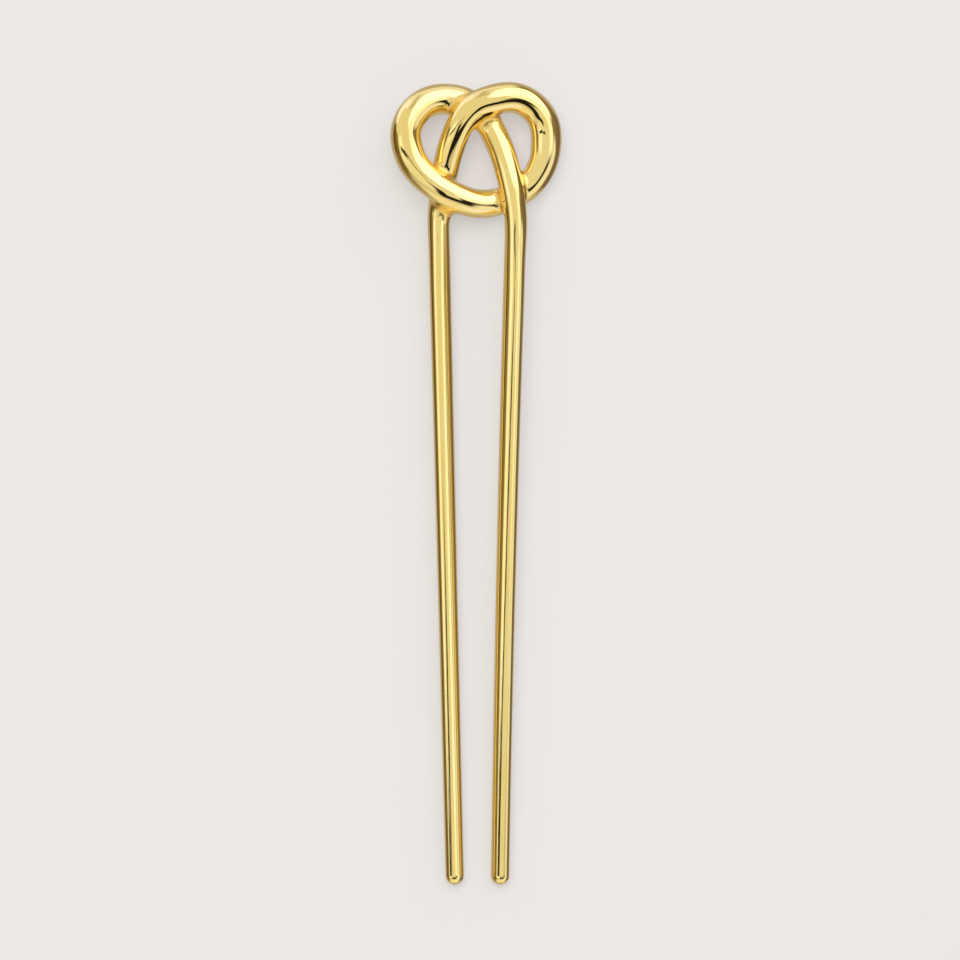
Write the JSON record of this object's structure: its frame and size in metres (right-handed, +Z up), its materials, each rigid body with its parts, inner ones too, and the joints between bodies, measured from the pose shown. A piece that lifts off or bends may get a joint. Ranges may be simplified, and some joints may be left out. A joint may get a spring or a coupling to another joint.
{
  "type": "french hair pin",
  "caption": "Long hair pin of one polished metal rod, tied at the top in an open pretzel knot with fused crossings and running down into two straight legs with round tips.",
  "frame": {"origin": "bottom centre of the bounding box of the pin as it lies flat on a table", "axes": "+Y from the tips towards the knot, along the pin's length; +X to the right across the two legs, as seen from above; +Z up, square to the plane of the knot"},
  "size_m": [0.0245, 0.115, 0.0068],
  "materials": {
    "gold_plate": "polished yellow-gold plating over cast brass"
  },
  "bodies": {
    "root": {"hair_pin": "gold_plate"}
  },
  "joints": []
}
